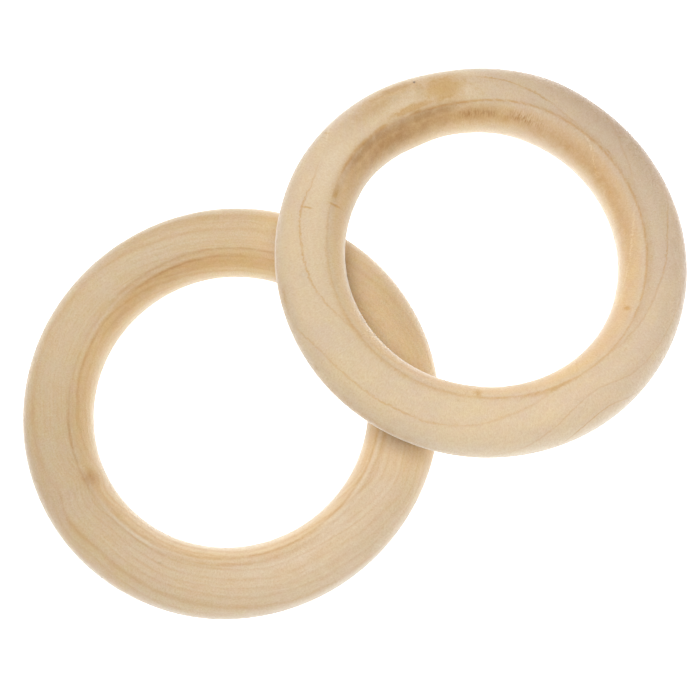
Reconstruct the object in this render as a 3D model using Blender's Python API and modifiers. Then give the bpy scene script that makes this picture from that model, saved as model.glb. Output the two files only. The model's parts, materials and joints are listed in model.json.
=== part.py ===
"""A pair of turned wooden gymnastics rings, the upper one lying across the lower one.

Units are metres.  The origin is on the surface that the pair lies on, under the middle of
the pair.  +X runs from the lower ring towards the upper ring, and +Z points up.
"""

import math

import bpy
import numpy as np
from mathutils import Matrix

# Driving dimensions: the lower ring, the slightly smaller upper ring, and how they lie.
LOWER_OUTSIDE_DIAMETER = 0.236
LOWER_BAR_WIDTH = 0.040
UPPER_OUTSIDE_DIAMETER = 0.2315
UPPER_BAR_WIDTH = 0.039
BAR_THICKNESS = 0.030
CENTRE_SPACING = 0.1645
TOUCH_GAP = 0.0003

# The bar's section, as fractions of half its width: the flats run from the edge that the
# inside cutter leaves, on the hole's side, to where the outer rounding starts.
INNER_EDGE = 0.40
OUTER_ROUNDING_START = 0.15

TURNS = 80
OUTER_STEPS = 12
INNER_STEPS = 8

LOWER_COLOUR = (0.66, 0.53, 0.37)
UPPER_COLOUR = (0.70, 0.57, 0.42)
WOOD_ROUGHNESS = 0.7

HALF_THICKNESS = BAR_THICKNESS / 2
WALL_RISE = HALF_THICKNESS / math.sqrt(1 - INNER_EDGE**2)


def clear_scene():
    for item in list(bpy.data.objects):
        bpy.data.objects.remove(item)


def arc(middle, reach, rise, start, end, steps):
    """Points (out, up) along an ellipse about (middle, 0), between two angles in radians."""
    angles = np.linspace(start, end, steps + 1)
    return [(middle + reach * math.cos(angle), rise * math.sin(angle)) for angle in angles]


def bar_section(width):
    """The bar's closed outline about its own middle, running down its outer side first."""
    half = width / 2
    flat_edge = half * OUTER_ROUNDING_START
    wall_angle = math.acos(INNER_EDGE)
    outer = arc(flat_edge, half - flat_edge, HALF_THICKNESS, math.pi / 2, -math.pi / 2, OUTER_STEPS)
    inner = arc(0, half, WALL_RISE, math.pi + wall_angle, math.pi - wall_angle, INNER_STEPS)
    return outer + inner


def half_height(out, width):
    """How far the bar's surface is above its middle, at distances out from that middle."""
    half = width / 2
    flat_edge = half * OUTER_ROUNDING_START
    along_rounding = np.clip((out - flat_edge) / (half - flat_edge), 0, 1)
    along_wall = np.clip(out / half, -1, 0)
    rounding = HALF_THICKNESS * np.sqrt(1 - along_rounding**2)
    wall = WALL_RISE * np.sqrt(1 - along_wall**2)
    return np.minimum(rounding, wall)


def middle_radius(outside_diameter, width):
    return (outside_diameter - width) / 2


def edge_points(lean):
    """The upper ring's section at its +X side, turned with the ring, about the ring's centre."""
    radius = middle_radius(UPPER_OUTSIDE_DIAMETER, UPPER_BAR_WIDTH)
    points = [(radius + out, up) for out, up in bar_section(UPPER_BAR_WIDTH)]
    across = [x * math.cos(lean) + z * math.sin(lean) for x, z in points]
    heights = [z * math.cos(lean) - x * math.sin(lean) for x, z in points]
    return across, heights


def upper_centre_height(lean):
    """Height of the upper ring's centre when its +X edge stands on the surface."""
    return -min(edge_points(lean)[1])


def gap_between_rings(lean):
    """Smallest height of the upper ring's underside above the lower ring's top."""
    upper_radius = middle_radius(UPPER_OUTSIDE_DIAMETER, UPPER_BAR_WIDTH)
    lower_radius = middle_radius(LOWER_OUTSIDE_DIAMETER, LOWER_BAR_WIDTH)
    half = UPPER_BAR_WIDTH / 2
    turn, out = np.meshgrid(np.linspace(0, math.pi, 721), np.linspace(-half, half, 121))
    x = (upper_radius + out) * np.cos(turn)
    y = (upper_radius + out) * np.sin(turn)
    z = -half_height(out, UPPER_BAR_WIDTH)
    underside = upper_centre_height(lean) + z * math.cos(lean) - x * math.sin(lean)
    x_from_lower = CENTRE_SPACING + x * math.cos(lean) + z * math.sin(lean)
    from_lower_bar = np.hypot(x_from_lower, y) - lower_radius
    over_bar = np.abs(from_lower_bar) < LOWER_BAR_WIDTH / 2
    lower_top = HALF_THICKNESS + half_height(from_lower_bar, LOWER_BAR_WIDTH)
    return np.min((underside - lower_top)[over_bar])


def resting_lean():
    """Angle at which the upper ring comes down onto the lower one, by halving the interval."""
    low, high = 0.0, math.radians(30)
    while high - low > 1e-6:
        middle = (low + high) / 2
        if gap_between_rings(middle) < TOUCH_GAP:
            low = middle
        else:
            high = middle
    return high


def wood(name, colour):
    material = bpy.data.materials.new(name)
    material.use_nodes = True
    shader = material.node_tree.nodes["Principled BSDF"]
    shader.inputs["Base Color"].default_value = (*colour, 1)
    shader.inputs["Roughness"].default_value = WOOD_ROUGHNESS
    shader.inputs["Metallic"].default_value = 0
    return material


def turned_ring(name, outside_diameter, width, colour, collection):
    """A wooden ring turned about its own Z axis, with its origin at its centre."""
    radius = middle_radius(outside_diameter, width)
    corners = [(radius + out, 0, up) for out, up in bar_section(width)]
    edges = [(i, (i + 1) % len(corners)) for i in range(len(corners))]
    mesh = bpy.data.meshes.new(name)
    mesh.from_pydata(corners, edges, [])
    mesh.materials.append(wood(name + "_wood", colour))
    ring = bpy.data.objects.new(name, mesh)
    collection.objects.link(ring)
    turning = ring.modifiers.new("Turning", "SCREW")
    turning.axis = "Z"
    turning.steps = TURNS
    turning.render_steps = TURNS
    turning.use_merge_vertices = True
    turning.merge_threshold = 0.00001
    turning.use_smooth_shade = True
    return ring


def main():
    clear_scene()
    collection = bpy.data.collections.new("gymnastics_rings")
    bpy.context.scene.collection.children.link(collection)
    pair = bpy.data.objects.new("pair_of_rings", None)
    collection.objects.link(pair)

    lean = resting_lean()
    upper_reach = max(edge_points(lean)[0])
    pair_length = LOWER_OUTSIDE_DIAMETER / 2 + CENTRE_SPACING + upper_reach
    lower_x = (LOWER_OUTSIDE_DIAMETER - pair_length) / 2

    lower_ring = turned_ring(
        "lower_ring", LOWER_OUTSIDE_DIAMETER, LOWER_BAR_WIDTH, LOWER_COLOUR, collection
    )
    lower_ring.parent = pair
    lower_ring.location = (lower_x, 0, HALF_THICKNESS)

    upper_ring = turned_ring(
        "upper_ring", UPPER_OUTSIDE_DIAMETER, UPPER_BAR_WIDTH, UPPER_COLOUR, collection
    )
    upper_ring.parent = pair
    upper_ring.location = (lower_x + CENTRE_SPACING, 0, upper_centre_height(lean))
    upper_ring.rotation_euler = Matrix.Rotation(lean, 3, "Y").to_euler()


main()
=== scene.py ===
"""Looks for a pair of turned wooden rings: fine meshes with a hand-made shape, and bare wood.

Lengths are in metres unless a name says mm.  A place on a ring is an angle about the ring's
axis, in degrees from the ring's +X side, and a distance in from the ring's outer edge,
measured over the top of the bar in millimetres.
"""

import json
import math

import bpy
import numpy as np
from mathutils import Euler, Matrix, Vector, noise


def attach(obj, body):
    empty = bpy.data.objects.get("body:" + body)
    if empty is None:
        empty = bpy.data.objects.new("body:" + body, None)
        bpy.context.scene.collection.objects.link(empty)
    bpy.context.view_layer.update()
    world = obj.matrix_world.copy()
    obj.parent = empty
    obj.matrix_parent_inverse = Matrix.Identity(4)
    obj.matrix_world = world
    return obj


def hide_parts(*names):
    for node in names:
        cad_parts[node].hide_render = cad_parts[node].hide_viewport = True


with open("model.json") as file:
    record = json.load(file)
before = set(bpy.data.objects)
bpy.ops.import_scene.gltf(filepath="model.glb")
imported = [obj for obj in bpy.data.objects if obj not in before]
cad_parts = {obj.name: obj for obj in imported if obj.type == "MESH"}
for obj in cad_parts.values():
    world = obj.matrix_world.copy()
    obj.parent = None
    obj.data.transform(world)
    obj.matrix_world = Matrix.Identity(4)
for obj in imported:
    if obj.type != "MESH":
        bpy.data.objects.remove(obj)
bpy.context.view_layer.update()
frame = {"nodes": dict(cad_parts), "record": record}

MM = 0.001

# The bar's section, as fractions of half its width: where the outer rounding meets the flat.
OUTER_ROUNDING_START = 0.15

# Mesh density over one half of the bar, and the steps round the ring in degrees.
OUTER_POINTS = 34
FLAT_POINTS = 22
BAND_POINTS = 7
WALL_POINTS = 30
TURN_STEP = 0.9
FINE_TURN_STEP = 0.3
BAND_SLOPE = math.radians(20)

CAMERA_TURN = (13.64, 4.87, -29.38)
CAMERA_DISTANCE = 1.1962
CAMERA_LENS = 109.05
CAMERA_AIM = (-0.0049, -0.0044)

# ------------------------------------------------------------------ facts about each ring
# layer_course    (angle, mm in) points on a smooth closed curve that the growth layers follow
# layer_spread    (angle, factor): how much wider apart than usual the layers lie there
# layers          where the layers end, in mm from the course; without it, layer_spacing is used
# line_spans      (layer or None for all, angle, half-width in degrees, strength) of the lines
#                 at the layers' ends; a strength below zero makes a pale line
# outer_bumps     (angle, half-width in degrees, mm outwards) of the turned shape's faults, and
# inner_bumps     the same for the side of the hole
# edge_course     (angle, mm in) of the inner edge, where the flat ends and the bevel begins
# the crease lines (mm past that edge, half-width in mm, (angle, strength) points): dark, partly burnish,
# partly painted shade
# band_mm         how wide the bevel between the flat and the inner wall is
# tone, lightness  (angle, value): from grey to warm; how light it is, partly the wood's own, partly
# painted light and shade
# All others are spots: (angle, mm in, half-width round the ring in mm, half-width across the
# bar in mm, strength).

LOWER = {
    "layer_course": [
        (0, 14), (10, 18), (20, 20), (50, 24), (80, 22.5), (100, 18), (120, 15), (150, 16), (170, 18),
        (179, 21), (184, 18), (200, 19), (215, 16.5), (240, 12.5), (262, 8.5), (275, 7.5), (290, 4),
        (303, 1), (317, 4), (345, 8),
    ],
    "layer_spread": [(0, 1.0), (180, 1.0), (240, 1.2), (275, 1.3), (320, 1.1)],
    "layer_spacing": 4.0,
    "line_spans": [
        (None, 0, 360, 0.1), (None, 265, 50, 0.17), (None, 205, 25, 0.2), (None, 90, 30, 0.08),
    ],
    "outer_bumps": [(140, 50, 0.25), (280, 40, -0.25)],
    "inner_bumps": [(100, 50, -0.35), (255, 30, 0.12)],
    "edge_course": [(0, 36), (60, 35.5), (120, 36.5), (180, 37), (240, 36), (300, 36)],
    "edge_lines": [
        (0, 0.7, [
            (0, 0.4), (70, 0.6), (100, 0.4), (125, 0.15), (150, 0.5), (160, 0.9), (175, 0.5),
            (200, 0.35), (260, 0.3), (310, 0.35),
        ]),
        (4.3, 0.9, [
            (0, 0.4), (50, 0.3), (75, 0.8), (92, 0.8), (104, 0.2), (125, 0.5), (160, 0.15),
            (200, 0.3), (240, 0.5), (265, 0.7), (310, 0.3),
        ]),
    ],
    "band_mm": 3.9,
    # The warm end near 0 degrees is partly painted shade, where the upper ring shades this ring.
    "tone": [
        (0, 0.8), (50, 0.3), (110, 0.0), (160, 0.0), (190, -0.4), (220, -0.4), (285, -0.6), (320, 0.0),
    ],
    # Lightness by angle: partly the wood's own, partly painted light and shade, lightest near 270 degrees.
    "shade": [
        (0, 0.98), (90, 0.99), (130, 0.98), (160, 0.92), (210, 1.0), (270, 1.1), (305, 1.05),
        (340, 0.99),
    ],
    # Painted shade: the inner-wall spots at 60 to 150 degrees, the outer one at 160, and the one at 0
    # under the upper ring.
    "stain_and_shade": [
        (90, 43, 40, 7, 0.5), (104, 45, 24, 3, 0.45), (60, 43, 50, 5, 0.3), (80, 14, 60, 4, 0.3),
        (160, 10, 50, 6, 0.4), (150, 43, 30, 5, 0.2), (0, 22, 50, 10, 0.2), (180, 26, 2.0, 12, 0.15),
        (178.5, 41.5, 4.5, 5, 0.9), (180, 38.5, 2.5, 1.5, 0.6),
    ],
    "mark": [
        (95, 24, 0.7, 0.5, 1.0), (85, 29, 0.6, 0.5, 0.7), (257, 26.5, 0.5, 1.6, 0.6),
        (219, 31, 0.6, 0.5, 1.2), (5, 33.5, 0.6, 0.5, 0.7), (158, 36.7, 4, 0.4, 0.3),
    ],
    "dot": [],
    "gold": [],
    "torn": [],
    # Painted light: the spots on the outer rim and the inner wall from about 260 to 285 degrees.
    "pale_and_painted_light": [
        (100, 27, 110, 7, 0.5), (262, 31, 90, 4, 1.0), (295, 26, 50, 8, 0.9),
        (215, 38.4, 55, 1.0, 1.6), (303, 38.6, 48, 1.2, 1.7), (112, 38.2, 18, 0.8, 0.9),
        (85, 38.2, 30, 0.9, 0.7), (205, 27, 40, 7, 0.35), (272, 18, 90, 14, 0.65),
        (270, 1, 110, 6, 1.1), (265, 47, 110, 7, 1.3), (265, 42, 100, 4, 0.9),
        (281, 36, 26, 9, 1.4),
    ],
    "cool": [(160, 28, 40, 7, 0.35), (90, 30, 60, 5, 0.35)],
    "fine_spans": [(172, 188)],
}
UPPER = {
    "layer_course": [
        (0, 7), (8, 3), (20, -7), (36, -13), (48, -17), (62, -21), (84, -27), (98, -27), (104, -19),
        (110, -10), (125, 1), (140, 0), (160, 3), (172, 7), (185, 14), (205, 17), (235, 20.5), (250, 28),
        (263, 34), (276, 37.5), (290, 34), (310, 28), (325, 24), (340, 19), (350, 13),
    ],
    "layer_spread": [
        (0, 1.0), (150, 1.0), (235, 1.3), (250, 1.4), (262, 1.1), (270, 0.95), (277, 0.92), (285, 1.05),
        (292, 1.15), (305, 1.05), (330, 1.0),
    ],
    "layers": (-58, -42, -27, -15, 0, 21, 41, 60, 78),
    "line_spans": [
        (None, 0, 360, 0.03), (5, 142, 18, 0.75), (5, 168, 12, 0.6), (5, 200, 30, 0.25), (5, 0, 22, 0.3),
        (5, 333, 20, -0.8), (5, 106, 12, -0.7), (6, 55, 7, 0.8), (6, 43, 5, 0.8), (6, 32, 8, 0.25),
        (6, 14, 9, -0.8), (4, 195, 30, 0.4), (4, 235, 40, 0.3), (4, 315, 30, 0.35), (4, 345, 22, 0.4),
        (3, 275, 55, 0.4), (2, 268, 9, 0.9), (2, 284, 9, 0.6),
    ],
    "outer_bumps": [(38, 12, 0.9), (73, 14, -1.35), (120, 18, 0.65), (190, 30, 0.3), (340, 30, -0.3)],
    "inner_bumps": [
        (52, 15, 0.75), (88, 8, -0.75), (114, 11, 0.7), (232, 14, -0.4), (295, 24, 0.7), (350, 24, -0.45),
    ],
    "edge_course": [
        (0, 33), (40, 33), (70, 35.5), (95, 34.5), (115, 34), (150, 36), (200, 36.5), (262, 36.5),
        (280, 35.5), (320, 34),
    ],
    "edge_lines": [
        (0, 0.8, [
            (0, 0.8), (30, 0.7), (55, 1.0), (75, 1.0), (90, 0.5), (115, 0.3), (128, 0.3), (170, 0.3),
            (220, 0.4), (250, 0.7), (270, 0.6), (300, 0.7), (335, 0.8),
        ]),
    ],
    "band_mm": 1.4,
    "tone": [
        (0, -0.9), (40, -0.8), (62, 0.0), (76, 0.9), (100, 0.2), (160, 0.3), (240, 0.2), (290, -0.5),
        (335, -0.9),
    ],
    # Lightness by angle: partly the wood's own, partly painted light and shade, lightest near 250 degrees.
    "shade": [
        (20, 0.955), (45, 0.97), (90, 0.99), (130, 0.99), (180, 0.95), (210, 1.0), (250, 1.1), (300, 1.08),
        (340, 1.01),
    ],
    # Painted shade: the dark band on the inner wall from 84 to 128 degrees, and the outer spots at 18, 124
    # and 335 degrees.
    "stain_and_shade": [
        (97, 42, 40, 7, 1.1), (84, 38, 22, 4, 1.2), (95, 38, 24, 4, 1.25), (107, 37, 26, 3.5, 1.25),
        (20, 44, 40, 7, 0.2), (64, 42, 18, 6, 0.6), (350, 44, 30, 5, 0.2),
        (88, 15.5, 22, 2.5, 0.35), (18, 9, 60, 11, 0.85), (335, 9, 60, 8, 0.4), (124, 9, 40, 5, 0.3),
        (128, 37, 14, 4, 0.45), (100, 20, 25, 6, 0.25), (81, 22, 3, 6, 0.35),
    ],
    "mark": [
        (187.5, 2, 0.8, 5, 0.8), (213.5, 2, 0.4, 4, 0.4), (230, 33.5, 0.6, 0.5, 1.2),
        (100.5, 48, 2.5, 2, 0.35),
    ],
    "dot": [(81.5, 15, 0.5, 0.7, 1.5)],
    # The gold spots on the outer rounding at 20 and 345 degrees tint the painted shade there.
    "gold": [
        (73.5, 24, 13, 13, 0.8), (237, 41, 2.6, 4.5, 0.7), (308, 40, 1.4, 3.0, 0.8),
        (90, 16, 24, 6, 0.6), (86, 31, 20, 3, 0.75), (66.2, 22, 2.0, 5, 0.45),
        (67.2, 29, 2.0, 4, 0.55), (80.2, 20, 1.8, 5, 0.5), (79.2, 28, 1.8, 5, 0.6),
        (96, 20, 20, 8, 0.5), (20, 9, 60, 8, 0.45), (345, 9, 50, 8, 0.4), (55, 44, 40, 5, 0.4),
        (112, 33.5, 26, 2, 0.6), (130, 36, 6, 1.5, 0.6), (20, 32, 44, 3, 0.4),
        (335, 32, 70, 3, 0.4), (165, 7, 10, 3, 0.6), (152, 1, 55, 6, 0.85), (205, 1, 60, 5, 0.65),
        (12, 45, 70, 6, 0.5), (195, 36, 90, 2, 0.4), (262, 35.5, 30, 1.5, 0.5),
        (113, 11, 0.6, 4.5, 0.9), (135, 38, 0.7, 4.0, 1.0), (8.5, 32, 0.7, 4.5, 1.0),
        (138.5, 23, 0.6, 3.0, 1.0), (131, 36.5, 3, 0.8, 0.9), (64.5, 24, 3, 1.2, 0.35),
        (62.2, 27, 2.6, 1.6, 0.35), (60.6, 30, 2, 2, 0.35), (11, 31, 3, 0.6, 0.8),
        (100, 33.2, 6, 1.6, 0.8), (109, 33.5, 5, 1.3, 0.9), (118, 34, 6, 1.6, 0.8),
        (85, 34, 8, 1.5, 0.6),
    ],
    "torn": [(44, 41.5, 11, 3.2, 1.0), (62, 42.5, 13, 2.4, 0.8)],
    # Painted light: the spot on the outer rim at 262 degrees.
    "pale_and_painted_light": [
        (160, 27, 60, 6, 0.3), (66, 29, 5, 4, 0.6), (122, 26, 24, 6, 0.7), (235, 12, 30, 5, 0.3),
        (90, 27, 10, 4, 0.6), (262, 2, 100, 8, 1.0),
    ],
    "cool": [
        (90, 22, 2.5, 2.0, 1.0), (161, 22, 1.5, 3, 0.9), (60, 13, 4, 2, 0.8), (150, 8, 3, 2, 0.6),
        (20, 20, 50, 9, 0.35), (335, 22, 50, 8, 0.35), (160, 39, 20, 2, 0.4), (148, 41, 30, 6, 0.9),
    ],
    "fine_spans": [(34, 92), (132, 142)],
}
SPOT_FIELDS = ("stain_and_shade", "mark", "dot", "gold", "torn", "pale_and_painted_light", "cool")
LAYER_COUNT = 34
FIRST_LAYER_MM = -60


def around(points, angles):
    """A smooth closed curve through (degrees, value) points, read at angles in degrees."""
    at = np.array([p[0] for p in points], float)
    value = np.array([p[1] for p in points], float)
    at = np.concatenate([at[-2:] - 360, at, at[:2] + 360])
    value = np.concatenate([value[-2:], value, value[:2]])
    slope = np.gradient(value, at)
    angles = np.mod(angles, 360)
    k = np.clip(np.searchsorted(at, angles, side="right") - 1, 0, len(at) - 2)
    span = at[k + 1] - at[k]
    t = (angles - at[k]) / span
    start_part = (1 + 2 * t) * (1 - t) ** 2 * value[k] + t * (1 - t) ** 2 * span * slope[k]
    end_part = t**2 * (3 - 2 * t) * value[k + 1] + t**2 * (t - 1) * span * slope[k + 1]
    return start_part + end_part


def degrees_apart(angles, centre):
    return np.mod(angles - centre + 180, 360) - 180


def bumps(items, angles):
    return sum(height * np.exp(-((degrees_apart(angles, at) / width) ** 2)) for at, width, height in items)


def smooth_step(low, high, value):
    t = np.clip((value - low) / (high - low), 0, 1)
    return t * t * (3 - 2 * t)


def noise_at(points, wavelength, offset=0.0):
    """Smooth noise from about -1 to 1 at each point, with features of about that wavelength."""
    shift = Vector((offset, offset * 0.7, offset * 1.3))
    return np.array([noise.noise(Vector(p) / wavelength + shift) for p in points.tolist()])


class Ring:
    """A CAD ring's place and size, read from its node, with the facts of its wood."""

    def __init__(self, node, axis, facts):
        corners = np.array([v.co for v in frame["nodes"][node].data.vertices])
        self.node = node
        self.facts = facts
        self.centre = (corners.min(axis=0) + corners.max(axis=0)) / 2
        up = np.array(axis, float)
        side = np.array([0.0, 1.0, 0.0])
        self.axes = np.array([np.cross(side, up), side, up])
        local = (corners - self.centre) @ self.axes.T
        radii = np.hypot(local[:, 0], local[:, 1])
        self.middle = (radii.max() + radii.min()) / 2
        self.half_width = (radii.max() - radii.min()) / 2
        self.half_height = local[:, 2].max()


def turn_angles(fine_spans):
    """Angles round the ring in degrees, closer together over the spans with fine detail."""
    angles = []
    angle = 0.0
    while angle < 360 - FINE_TURN_STEP / 2:
        angles.append(angle)
        fine = any(start <= angle < end for start, end in fine_spans)
        angle += FINE_TURN_STEP if fine else TURN_STEP
    return np.array(angles)


def upper_half(ring, angles):
    """The bar's upper half at each angle, outer edge first: out and up, each (turns, points)."""
    half = ring.half_width
    high = ring.half_height
    flat_edge = half * OUTER_ROUNDING_START
    reach = half - flat_edge
    rounding = np.linspace(0, math.pi / 2, OUTER_POINTS, endpoint=False)
    fine = np.linspace(0, math.pi / 2, 400)
    rounding_length = np.hypot(np.diff(reach * np.cos(fine)), np.diff(high * np.sin(fine))).sum()

    inner_edge = flat_edge - (around(ring.facts["edge_course"], angles) * MM - rounding_length)
    band = ring.facts["band_mm"] * MM
    wall_out = inner_edge - band * math.cos(BAND_SLOPE)
    wall_up = high - band * math.sin(BAND_SLOPE)
    wall_rise = wall_up / np.sqrt(1 - (wall_out / half) ** 2)

    turns = len(angles)
    out = [np.tile(flat_edge + reach * np.cos(rounding), (turns, 1))]
    up = [np.tile(high * np.sin(rounding), (turns, 1))]
    along = np.linspace(0, 1, FLAT_POINTS, endpoint=False)
    out.append(flat_edge + (inner_edge[:, None] - flat_edge) * along)
    up.append(np.full((turns, FLAT_POINTS), high))
    along = np.linspace(0, 1, BAND_POINTS, endpoint=False)
    out.append(inner_edge[:, None] + (wall_out - inner_edge)[:, None] * along)
    up.append(high + (wall_up - high) * np.tile(along, (turns, 1)))
    start = np.arccos(wall_out / half)[:, None]
    sweep = start + (math.pi - start) * np.linspace(0, 1, WALL_POINTS)
    out.append(half * np.cos(sweep))
    up.append(wall_rise[:, None] * np.sin(sweep))
    return np.hstack(out), np.hstack(up)


def whole_bar(ring, angles):
    """The closed section at each angle, and how far in each point lies, in mm over the top.

    The lower half is the upper half mirrored, with every second point.  The second distance
    keeps on growing past the inner edge and falls below zero past the outer one, so that it
    tells the top from the bottom.
    """
    out, up = upper_half(ring, angles)
    steps = np.hypot(np.diff(out), np.diff(up)) / MM
    inward = np.hstack([np.zeros((len(angles), 1)), np.cumsum(steps, axis=1)])
    below = slice(-3, 0, -2)
    count = out[:, below].shape[1]
    past_inner = 2 * inward[:, -1:] - inward[:, below]
    past_outer = -inward[:, below]
    signed_below = np.where(np.arange(count) < count // 2, past_inner, past_outer)
    out = np.hstack([out, out[:, below]])
    up = np.hstack([up, -up[:, below]])
    return out, up, np.hstack([inward, inward[:, below]]), np.hstack([inward, signed_below])


def soft_spots(items, turn, signed, radius):
    """The strongest of some soft marks, each (angle, mm in, mm round, mm across, strength)."""
    total = np.zeros_like(signed)
    for at, place, round_mm, across_mm, strength in items:
        round_ring = np.radians(degrees_apart(turn, at)) * radius / MM
        reach = (round_ring / round_mm) ** 2 + ((signed - place) / across_mm) ** 2
        total = np.maximum(total, strength * np.exp(-reach))
    return total


def layer_places(facts):
    """Where the growth layers end, in mm from the layer course, listed or at uneven steps."""
    if "layers" in facts:
        return np.array(facts["layers"], float)
    steps = facts["layer_spacing"] * np.random.default_rng(5).uniform(0.6, 1.4, LAYER_COUNT)
    return np.cumsum(steps) + FIRST_LAYER_MM


def edge_line_strength(facts, turn, past_edge):
    """How dark the lines along the inner edge are, at distances past that edge in mm: partly burnish,
    partly painted shade.
    """
    strength = np.zeros_like(past_edge)
    for place, half_width, course in facts["edge_lines"]:
        line = around(course, turn) * np.exp(-(((past_edge - place) / half_width) ** 2))
        strength = np.maximum(strength, line)
    return strength


def layer_line_strength(facts, turn, layers):
    """How dark the line at the end of each point's nearest layer is; below zero it is pale."""
    strength = np.zeros_like(turn)
    for layer, at, width, share in facts["line_spans"]:
        on_layer = 1.0 if layer is None else layers == layer
        strength += share * on_layer * np.exp(-((degrees_apart(turn, at) / width) ** 4))
    return strength


def layer_growth(facts, turn, inward, local):
    """How far each point is from the layer course, in mm across the layers."""
    wander = 0.7 * noise_at(local, 0.018) + 0.25 * noise_at(local, 0.005, 3.1)
    from_course = inward - around(facts["layer_course"], turn) + wander
    return from_course / around(facts["layer_spread"], turn)


def wood_fields(ring, turn, inward, signed, growth, local):
    """What the wood's material needs to know at each point, by attribute name."""
    facts = ring.facts
    radius = np.hypot(local[:, 0], local[:, 1])
    places = layer_places(facts)
    nearest = np.abs(growth[:, None] - places).argmin(axis=1)
    line_strength = layer_line_strength(facts, turn, nearest) + 0.1 * noise_at(local, 0.03, 7.7)
    past_edge = inward - around(facts["edge_course"], turn)
    fields = {name: soft_spots(facts[name], turn, signed, radius) for name in SPOT_FIELDS}
    fields.update(
        layer=np.interp(growth, places, np.arange(len(places))),
        line_strength=np.clip(line_strength, -1, 2),
        edge_mm=past_edge,
        edge_line=edge_line_strength(facts, turn, past_edge),
        tone=around(facts["tone"], turn),
        shade=around(facts["shade"], turn),
    )
    from_line = np.abs(growth - places[nearest])
    return fields, from_line


def relief(fields, from_line, flow):
    """How far each point stands out of the turned shape, in metres."""
    lines = -0.05 * np.clip(fields["line_strength"], 0, 2) * np.exp(-((from_line / 0.45) ** 2))
    fibres = flow * np.array([1, 1, 0.2])
    torn = -0.25 * fields["torn"] * np.clip(noise_at(fibres, 0.0009, 1.7) + 0.15, 0, 1)
    marks = -0.1 * fields["mark"]
    hand_made = 0.14 * noise_at(flow, 0.035, 11.0) + 0.03 * noise_at(flow, 0.007, 5.0)
    return (lines + torn + marks + hand_made) * MM


def ring_mesh(ring, name):
    """The ring's fine surface, with its shape's small faults and its wood's attributes."""
    facts = ring.facts
    angles = turn_angles(facts["fine_spans"])
    out, up, inward, signed = whole_bar(ring, angles)
    turns, points = out.shape

    tangent_out = np.roll(out, -1, axis=1) - np.roll(out, 1, axis=1)
    tangent_up = np.roll(up, -1, axis=1) - np.roll(up, 1, axis=1)
    length = np.hypot(tangent_out, tangent_up)
    normal_out = tangent_up / length
    normal_up = -tangent_out / length

    outer_share = smooth_step(-ring.half_width, ring.half_width, out)
    outer = bumps(facts["outer_bumps"], angles)[:, None] * outer_share
    inner = bumps(facts["inner_bumps"], angles)[:, None] * (1 - outer_share)
    radius = ring.middle + out + (outer + inner) * MM

    turn = np.repeat(angles, points)
    cosine = np.cos(np.radians(turn))
    sine = np.sin(np.radians(turn))
    local = np.column_stack([radius.ravel() * cosine, radius.ravel() * sine, up.ravel()])
    normal = np.column_stack([normal_out.ravel() * cosine, normal_out.ravel() * sine, normal_up.ravel()])
    growth = layer_growth(facts, turn, inward.ravel(), local)
    fields, from_line = wood_fields(ring, turn, inward.ravel(), signed.ravel(), growth, local)
    round_ring = ring.middle * np.column_stack([cosine, sine])
    across = np.column_stack([round_ring, inward.ravel() * MM])
    along = np.column_stack([round_ring, growth * MM])
    surface = local + normal * relief(fields, from_line, across)[:, None]
    placed = surface @ ring.axes + ring.centre
    placed[:, 2] = np.maximum(placed[:, 2], 0.0)

    first = np.arange(turns)[:, None] * points + np.arange(points)
    ahead = np.roll(first, -1, axis=0)
    quads = np.stack([first, ahead, np.roll(ahead, -1, axis=1), np.roll(first, -1, axis=1)], axis=-1)
    mesh = bpy.data.meshes.new(name)
    mesh.from_pydata(placed.tolist(), [], quads.reshape(-1, 4).tolist())
    for field, values in fields.items():
        attribute = mesh.attributes.new(field, "FLOAT", "POINT")
        attribute.data.foreach_set("value", values.astype(np.float32))
    for field, values in {"wood": local, "across": across, "along": along}.items():
        attribute = mesh.attributes.new(field, "FLOAT_VECTOR", "POINT")
        attribute.data.foreach_set("vector", values.astype(np.float32).ravel())
    mesh.shade_smooth()
    return mesh


# ------------------------------------------------------------------ materials


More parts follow.
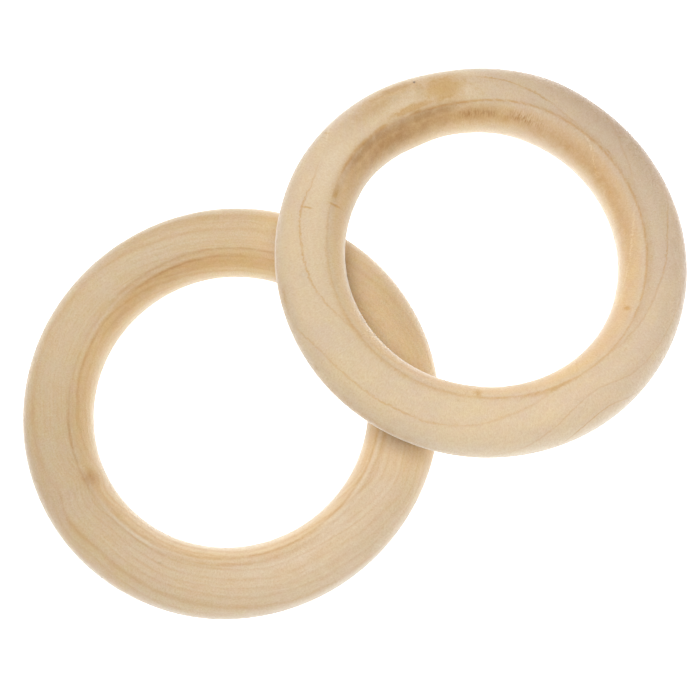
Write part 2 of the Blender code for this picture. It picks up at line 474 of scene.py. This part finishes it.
class Nodes:
    """Short calls for a material's node tree.  A value may be a number, a colour or a socket."""

    def __init__(self, material):
        material.use_nodes = True
        self.tree = material.node_tree
        self.shader = self.tree.nodes["Principled BSDF"]

    def put(self, socket, value):
        if isinstance(value, bpy.types.NodeSocket):
            self.tree.links.new(value, socket)
        else:
            socket.default_value = value

    def field(self, name):
        node = self.tree.nodes.new("ShaderNodeAttribute")
        node.attribute_name = name
        return node.outputs["Fac"]

    def place(self, name, scale=(1, 1, 1)):
        node = self.tree.nodes.new("ShaderNodeAttribute")
        node.attribute_name = name
        stretched = self.tree.nodes.new("ShaderNodeVectorMath")
        stretched.operation = "MULTIPLY"
        self.put(stretched.inputs[0], node.outputs["Vector"])
        stretched.inputs[1].default_value = scale
        return stretched.outputs[0]

    def math(self, operation, a, b=0.0, clamp=False):
        node = self.tree.nodes.new("ShaderNodeMath")
        node.operation = operation
        node.use_clamp = clamp
        self.put(node.inputs[0], a)
        self.put(node.inputs[1], b)
        return node.outputs[0]

    def noise(self, vector, wavelength_mm, detail=2.0, roughness=0.5):
        node = self.tree.nodes.new("ShaderNodeTexNoise")
        self.put(node.inputs["Vector"], vector)
        node.inputs["Scale"].default_value = 1 / (wavelength_mm * MM)
        node.inputs["Detail"].default_value = detail
        node.inputs["Roughness"].default_value = roughness
        return node.outputs["Fac"]

    def noise_along(self, value, scale, detail=2.0):
        node = self.tree.nodes.new("ShaderNodeTexNoise")
        node.noise_dimensions = "1D"
        self.put(node.inputs["W"], value)
        node.inputs["Scale"].default_value = scale
        node.inputs["Detail"].default_value = detail
        return node.outputs["Fac"]

    def between(self, value, low, high, to_low=0.0, to_high=1.0):
        """Value read smoothly from low..high onto to_low..to_high."""
        node = self.tree.nodes.new("ShaderNodeMapRange")
        node.interpolation_type = "SMOOTHSTEP"
        self.put(node.inputs["Value"], value)
        self.put(node.inputs["From Min"], low)
        self.put(node.inputs["From Max"], high)
        node.inputs["To Min"].default_value = to_low
        node.inputs["To Max"].default_value = to_high
        return node.outputs["Result"]

    def scaled(self, surface, factor):
        node = self.tree.nodes.new("ShaderNodeVectorMath")
        node.operation = "SCALE"
        self.put(node.inputs[0], surface)
        self.put(node.inputs["Scale"], factor)
        return node.outputs[0]

    def mix(self, share, a, b, blend="MIX"):
        node = self.tree.nodes.new("ShaderNodeMix")
        node.data_type = "RGBA"
        node.blend_type = blend
        self.put(node.inputs["Factor"], share)
        self.put(node.inputs["A"], a)
        self.put(node.inputs["B"], b)
        return node.outputs["Result"]


def colour(red, green, blue):
    return (red, green, blue, 1.0)


class WoodNoises:
    """The noises that several parts of one wood's material share."""

    def __init__(self, n, look):
        self.wood = n.place("wood")
        self.fuzz = n.noise(n.place("across", (1, 1, look["fuzz_stretch"])), 0.75, 3, 0.65)
        self.streaks = n.noise(n.place("along", (0.18, 0.18, 1)), 1.3, 3, 0.6)
        self.patches = n.math("SUBTRACT", n.noise(self.wood, 24, 3), 0.5)
        small = n.noise(n.place("along", (0.4, 0.4, 1)), 4, 4, 0.6)
        self.small_patches = n.math("SUBTRACT", small, 0.5)


def body_colour(n, look, noises):
    """From grey to warm in wide patches, rosy or golden in small ones, with paler areas, partly painted
    light.
    """
    tone = n.math("MULTIPLY", n.field("tone"), 0.28)
    tone = n.math("ADD", tone, n.math("ADD", noises.patches, noises.small_patches))
    surface = n.mix(n.between(tone, -0.45, 0.45), look["grey"], look["warm"])
    hue = n.between(n.noise(noises.wood, 9, 6, 0.7), 0.32, 0.68)
    rosy = n.mix(1.0, surface, look["rosy"], "MULTIPLY")
    golden = n.mix(1.0, surface, look["golden"], "MULTIPLY")
    surface = n.mix(hue, rosy, golden)
    pale_and_painted_light = n.math("MULTIPLY", n.field("pale_and_painted_light"), look["pale_and_painted_light_depth"], clamp=True)
    surface = n.mix(pale_and_painted_light, surface, look["pale_and_painted_light"])
    cool = n.math("MULTIPLY", n.field("cool"), 0.6, clamp=True)
    return n.mix(cool, surface, look["cool"], "MULTIPLY")


def with_bands(n, look, noises, surface):
    """Growth layers as soft bands, darker towards each layer's end, with fine streaks."""
    bands = n.between(n.noise_along(n.field("layer"), look["bands"], 3), 0.3, 0.7)
    bands = n.math("MULTIPLY", bands, n.between(noises.patches, -0.2, 0.2, 0.3, 1.0))
    surface = n.mix(n.math("MULTIPLY", bands, look["band_depth"]), surface, look["band"], "MULTIPLY")
    late = n.between(n.math("FRACT", n.field("layer")), 0.45, 0.0)
    late = n.math("MULTIPLY", late, n.between(noises.small_patches, -0.15, 0.15, 0.2, 1.0))
    surface = n.mix(n.math("MULTIPLY", late, look["late_depth"]), surface, look["band"], "MULTIPLY")
    streak = n.between(noises.streaks, 0.35, 0.7, 0.0, look["streak_depth"])
    return n.mix(streak, surface, look["band"], "MULTIPLY")


def layer_line(n, look, noises):
    """A ragged line at each layer's end, above zero where it is dark and below where pale."""
    wobble = n.math("SUBTRACT", n.noise(noises.wood, 2, 4, 0.75), 0.5)
    wobble = n.math("MULTIPLY", wobble, look["wobble"])
    from_line = n.math("PINGPONG", n.math("ADD", n.field("layer"), wobble), 0.5)
    ragged = n.math("MULTIPLY", n.math("SUBTRACT", noises.fuzz, 0.5), look["ragged"])
    line = n.between(n.math("ADD", from_line, ragged), look["line_reach"], 0.0)
    line = n.math("MULTIPLY", line, n.field("line_strength"))
    return n.math("MULTIPLY", line, n.between(noises.streaks, 0.2, 0.5, 0.2, 1.0))


def with_edges(n, look, noises, surface):
    """Painted light and shade on the outer rim and the inner wall, and the dark lines along the inner
    edge.
    """
    edge_mm = n.field("edge_mm")
    # Painted light and shade: tints for the outer rim, the inner wall and the deep wall by the hole.
    surface = n.mix(n.between(edge_mm, -19.0, -34.0), surface, look["painted_rim_light_and_shade"], "MULTIPLY")
    surface = n.mix(n.between(edge_mm, 0.0, 6.0), surface, look["wall"], "MULTIPLY")
    surface = n.mix(n.between(edge_mm, 8.0, 21.0), surface, look["deep_wall"], "MULTIPLY")
    # The dark lines along the inner edge: partly burnished wood, partly painted shade in the crease.
    broken = n.between(noises.streaks, 0.25, 0.6, 0.3, 1.0)
    edge = n.math("MULTIPLY", n.field("edge_line"), broken, clamp=True)
    return n.mix(edge, surface, look["edge"], "MULTIPLY")


def with_stains_and_shade(n, look, noises, surface):
    """Dark stains and painted shade, cloudy inside and uneven where they are strong."""
    cloudy = n.between(n.noise(noises.wood, 5, 4, 0.65), 0.3, 0.65, 0.68, 1.0)
    uneven = n.math("SUBTRACT", n.noise(noises.wood, 3, 5, 0.75), 0.5)
    on_stain_and_shade = n.between(n.field("stain_and_shade"), 0.85, 1.2)
    uneven = n.math("MULTIPLY", uneven, n.math("MULTIPLY", on_stain_and_shade, 0.55))
    stain_and_shade = n.math("ADD", n.math("MULTIPLY", n.field("stain_and_shade"), cloudy), uneven, clamp=True)
    return n.mix(stain_and_shade, surface, look["stain_and_shade"], "MULTIPLY")


def with_gold(n, look, noises, surface):
    """Golden, resinous spots with a rough outline."""
    rough_outline = n.math("SUBTRACT", n.noise(noises.wood, 5, 5, 0.7), 0.5)
    gold = n.math("ADD", n.field("gold"), n.math("MULTIPLY", rough_outline, 0.7))
    surface = n.mix(n.between(gold, 0.0, 0.95), surface, look["gold"], "MULTIPLY")
    outline = n.between(n.math("ABSOLUTE", n.math("SUBTRACT", gold, 0.6)), 0.12, 0.0)
    outline = n.math("MULTIPLY", outline, n.between(noises.small_patches, -0.1, 0.15, 0.0, 0.5))
    return n.mix(outline, surface, look["gold"], "MULTIPLY")


def with_marks(n, look, noises, surface):
    """Small brown marks, black dots and golden flecks."""
    mark = n.math("MULTIPLY", n.field("mark"), n.between(noises.fuzz, 0.2, 0.55, 0.3, 1.0), clamp=True)
    surface = n.mix(mark, surface, look["mark"])
    surface = n.mix(n.math("MINIMUM", n.field("dot"), 1.0), surface, look["dot"])
    flecks = n.noise(n.place("across", (1, 1, 0.6)), 1.2, 2)
    flecks = n.between(flecks, 0.62, 0.8, 0.0, look["flecks"])
    return n.mix(flecks, surface, look["gold"], "MULTIPLY")


def torn_fibres(n):
    fibres = n.between(n.noise(n.place("across", (1, 1, 0.2)), 0.8, 2), 0.45, 0.62)
    return n.math("MULTIPLY", n.field("torn"), fibres, clamp=True)


def fine_grain(n, noises):
    speckle = n.math("MULTIPLY", n.noise(noises.wood, 0.6, 3, 0.65), 0.35)
    grain = n.math("ADD", speckle, n.math("MULTIPLY", noises.fuzz, 0.65))
    return n.between(grain, 0.32, 0.68)


def fine_relief(n, grain, dark_line, torn):
    """Pores, sunken lines and torn fibres, as a normal."""
    bump = n.tree.nodes.new("ShaderNodeBump")
    bump.inputs["Strength"].default_value = 0.4
    bump.inputs["Distance"].default_value = 0.0004
    height = n.math("SUBTRACT", n.math("SUBTRACT", 0.5, grain), n.math("MULTIPLY", dark_line, 0.6))
    height = n.math("SUBTRACT", height, n.math("MULTIPLY", torn, 1.2))
    n.put(bump.inputs["Height"], height)
    return bump.outputs["Normal"]


def wood_material(name, look):
    """Bare light wood with its growth layers standing along the ring's axis."""
    material = bpy.data.materials.new(name)
    n = Nodes(material)
    noises = WoodNoises(n, look)
    grain = fine_grain(n, noises)
    line = layer_line(n, look, noises)
    dark_line = n.math("MAXIMUM", line, 0.0, clamp=True)
    pale_line = n.math("MULTIPLY", line, -0.9, clamp=True)
    torn = torn_fibres(n)

    surface = with_bands(n, look, noises, body_colour(n, look, noises))
    surface = n.mix(dark_line, surface, look["line"], "MULTIPLY")
    surface = n.mix(pale_line, surface, look["pale_and_painted_light"])
    surface = with_edges(n, look, noises, surface)
    surface = with_stains_and_shade(n, look, noises, surface)
    surface = with_gold(n, look, noises, surface)
    surface = with_marks(n, look, noises, surface)
    surface = n.mix(torn, surface, look["torn"], "MULTIPLY")
    surface = n.mix(n.math("MULTIPLY", grain, look["speckle"]), surface, look["speck"], "MULTIPLY")

    # The base colour is scaled by the lightness by angle, which is partly painted light and shade.
    n.put(n.shader.inputs["Base Color"], n.scaled(surface, n.field("shade")))
    n.put(n.shader.inputs["Roughness"], n.between(grain, 0.0, 1.0, 0.5, 0.65))
    n.put(n.shader.inputs["Normal"], fine_relief(n, grain, dark_line, torn))
    n.shader.inputs["Specular IOR Level"].default_value = 0.5
    n.shader.inputs["Sheen Weight"].default_value = 1.0
    n.shader.inputs["Sheen Roughness"].default_value = 0.34
    return material


LOWER_LOOK = {
    "grey": colour(0.658, 0.53, 0.38),
    "warm": colour(0.684, 0.538, 0.32),
    "pale_and_painted_light": colour(0.72, 0.625, 0.495),
    "pale_and_painted_light_depth": 0.62,
    "cool": colour(0.90, 0.94, 0.98),
    "rosy": colour(1.015, 0.965, 0.97),
    "golden": colour(0.995, 1.015, 0.95),
    "band": colour(0.90, 0.765, 0.60),
    "bands": 1.1,
    "band_depth": 0.42,
    "late_depth": 0.22,
    "streak_depth": 0.2,
    "line": colour(0.87, 0.72, 0.57),
    "line_reach": 0.32,
    "wobble": 0.3,
    "ragged": 0.3,
    "flecks": 0.2,
    # Painted light and shade: the rim's tint, the wall's warm bounce light and the deep wall's whiter
    # glow.
    "painted_rim_light_and_shade": colour(0.94, 0.98, 1.03),
    "wall": colour(1.06, 1.025, 0.93),
    "deep_wall": colour(1.0, 1.14, 1.38),
    # The crease lines' colour: partly burnished wood, partly painted shade.
    "edge": colour(0.81, 0.66, 0.48),
    "stain_and_shade": colour(0.74, 0.60, 0.44),
    "gold": colour(0.90, 0.78, 0.56),
    "mark": colour(0.42, 0.26, 0.11),
    "dot": colour(0.09, 0.07, 0.06),
    "fuzz_stretch": 0.8,
    "torn": colour(0.72, 0.56, 0.34),
    "speck": colour(0.85, 0.75, 0.62),
    "speckle": 0.78,
}
UPPER_LOOK = dict(
    LOWER_LOOK,
    grey=colour(0.68, 0.555, 0.425),
    warm=colour(0.73, 0.597, 0.4),
    pale_and_painted_light=colour(0.80, 0.69, 0.52),
    bands=0.8,
    band_depth=0.12,
    late_depth=0.1,
    streak_depth=0.12,
    fuzz_stretch=0.6,
    line=colour(0.84, 0.65, 0.38),
    line_reach=0.045,
    wobble=0.22,
    ragged=0.12,
    # Painted shade on the outer rim and painted warm bounce light on the inner wall.
    painted_rim_light_and_shade=colour(0.90, 0.925, 0.955),
    flecks=0.4,
    rosy=colour(1.01, 0.97, 0.965),
    golden=colour(1.0, 1.0, 0.945),
    wall=colour(1.04, 0.965, 0.82),
    edge=colour(0.88, 0.70, 0.44),
    stain_and_shade=colour(0.655, 0.53, 0.39),
    gold=colour(0.86, 0.70, 0.44),
    speckle=0.72,
)


def stage_material():
    """A pale table that is lit from inside, so that it stays white under the rings."""
    material = bpy.data.materials.new("pale_table")
    n = Nodes(material)
    n.shader.inputs["Base Color"].default_value = colour(0.6, 0.6, 0.6)
    n.shader.inputs["Roughness"].default_value = 0.9
    n.shader.inputs["Emission Color"].default_value = colour(1.0, 1.0, 1.0)
    n.shader.inputs["Emission Strength"].default_value = 1.55
    return material


# ------------------------------------------------------------------ the scene


def add_ring(name, ring, material):
    piece = bpy.data.objects.new(name, ring_mesh(ring, name))
    piece.data.materials.append(material)
    bpy.context.scene.collection.objects.link(piece)
    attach(piece, ring.node)
    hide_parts(ring.node)
    return piece


def add_floor():
    bpy.ops.mesh.primitive_plane_add(size=60)
    floor = bpy.context.object
    floor.name = "table_top"
    floor.data.materials.append(stage_material())


def add_camera():
    camera = bpy.data.objects.new("camera", bpy.data.cameras.new("camera"))
    camera.data.lens = CAMERA_LENS
    camera.data.clip_start = 0.01
    camera.rotation_euler = [math.radians(angle) for angle in CAMERA_TURN]
    away = Euler(camera.rotation_euler).to_matrix() @ Vector((0, 0, 1))
    aim = Vector((*CAMERA_AIM, lower.half_height))
    camera.location = aim + away * CAMERA_DISTANCE
    bpy.context.scene.collection.objects.link(camera)
    bpy.context.scene.camera = camera


def add_softbox(name, place, size, power):
    """A square soft light that faces the rings."""
    light = bpy.data.objects.new(name, bpy.data.lights.new(name, "AREA"))
    light.data.shape = "SQUARE"
    light.data.size = size
    light.data.energy = power
    light.location = place
    light.rotation_euler = Vector(place).to_track_quat("Z", "Y").to_euler()
    bpy.context.scene.collection.objects.link(light)


def add_surroundings():
    world = bpy.data.worlds.new("studio")
    world.use_nodes = True
    background = world.node_tree.nodes["Background"]
    background.inputs["Color"].default_value = colour(1.0, 1.0, 1.0)
    background.inputs["Strength"].default_value = 0.25
    bpy.context.scene.world = world
    bpy.context.scene.view_settings.view_transform = "Standard"


mounts = {mount["name"]: mount for mount in frame["record"]["mounts"]}
lower = Ring("lower_ring", (0, 0, 1), LOWER)
upper = Ring("upper_ring", mounts["upper_ring_top_flat"]["axis"], UPPER)

add_ring("lower_wooden_ring", lower, wood_material("lower_ring_bare_wood", LOWER_LOOK))
add_ring("upper_wooden_ring", upper, wood_material("upper_ring_bare_wood", UPPER_LOOK))
add_floor()
add_surroundings()
add_camera()
add_softbox("overhead_softbox", (-0.05, 0.15, 1.5), 1.2, 22)
